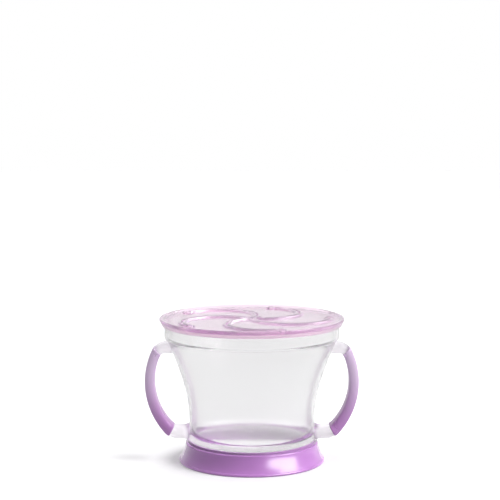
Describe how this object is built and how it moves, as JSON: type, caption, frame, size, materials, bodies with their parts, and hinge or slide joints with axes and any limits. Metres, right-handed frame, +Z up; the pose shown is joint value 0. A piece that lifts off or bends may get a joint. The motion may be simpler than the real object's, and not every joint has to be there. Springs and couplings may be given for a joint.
{
  "type": "toddler snack container",
  "caption": "Clear two-handled snack cup with soft grips and a soft foot, and a soft press-on lid whose pinwheel slits let a small hand in while snacks stay inside.",
  "frame": {"origin": "centre of the foot's underside, on the table", "axes": "+Z up along the cup's axis; +X through the right handle; -Y out of the front that the picture shows"},
  "size_m": [0.118, 0.102, 0.0802],
  "materials": {
    "clear_cup": "clear polypropylene, slightly hazy",
    "grip": "soft lilac elastomer with a satin gloss",
    "foot": "soft purple elastomer with a satin gloss",
    "lid_skin": "translucent lilac elastomer"
  },
  "bodies": {
    "cup": {"cup_body": "clear_cup", "left_handle": "clear_cup", "right_handle": "clear_cup", "left_grip": "grip", "right_grip": "grip", "base_ring": "foot"},
    "lid": {"lid_rim": "lid_skin"},
    "flap_1": {"flap_1": "lid_skin"},
    "flap_2": {"flap_2": "lid_skin"},
    "flap_3": {"flap_3": "lid_skin"},
    "flap_4": {"flap_4": "lid_skin"},
    "flap_5": {"flap_5": "lid_skin"}
  },
  "joints": [
    {"name": "lid_lift", "type": "slide", "parent": "cup", "child": "lid", "axis": [0, 0, 1], "range_m": [0, 0.045]},
    {"name": "flap_1_bend", "type": "hinge", "parent": "lid", "child": "flap_1", "pos_m": [-0.009, -0.0336, 0.0782], "axis": [-0.9659, 0.2588, 0], "range_deg": [-25, 55], "stiffness_Nm_per_rad": 0.02},
    {"name": "flap_2_bend", "type": "hinge", "parent": "lid", "child": "flap_2", "pos_m": [-0.03474, -0.00182, 0.0782], "axis": [-0.0523, 0.9986, 0], "range_deg": [-25, 55], "stiffness_Nm_per_rad": 0.02},
    {"name": "flap_3_bend", "type": "hinge", "parent": "lid", "child": "flap_3", "pos_m": [-0.01247, 0.03248, 0.0782], "axis": [0.9336, 0.3584, 0], "range_deg": [-25, 55], "stiffness_Nm_per_rad": 0.02},
    {"name": "flap_4_bend", "type": "hinge", "parent": "lid", "child": "flap_4", "pos_m": [0.02704, 0.02189, 0.0782], "axis": [0.6293, -0.7771, 0], "range_deg": [-25, 55], "stiffness_Nm_per_rad": 0.02},
    {"name": "flap_5_bend", "type": "hinge", "parent": "lid", "child": "flap_5", "pos_m": [0.02917, -0.01895, 0.0782], "axis": [-0.5446, -0.8387, 0], "range_deg": [-25, 55], "stiffness_Nm_per_rad": 0.02}
  ]
}
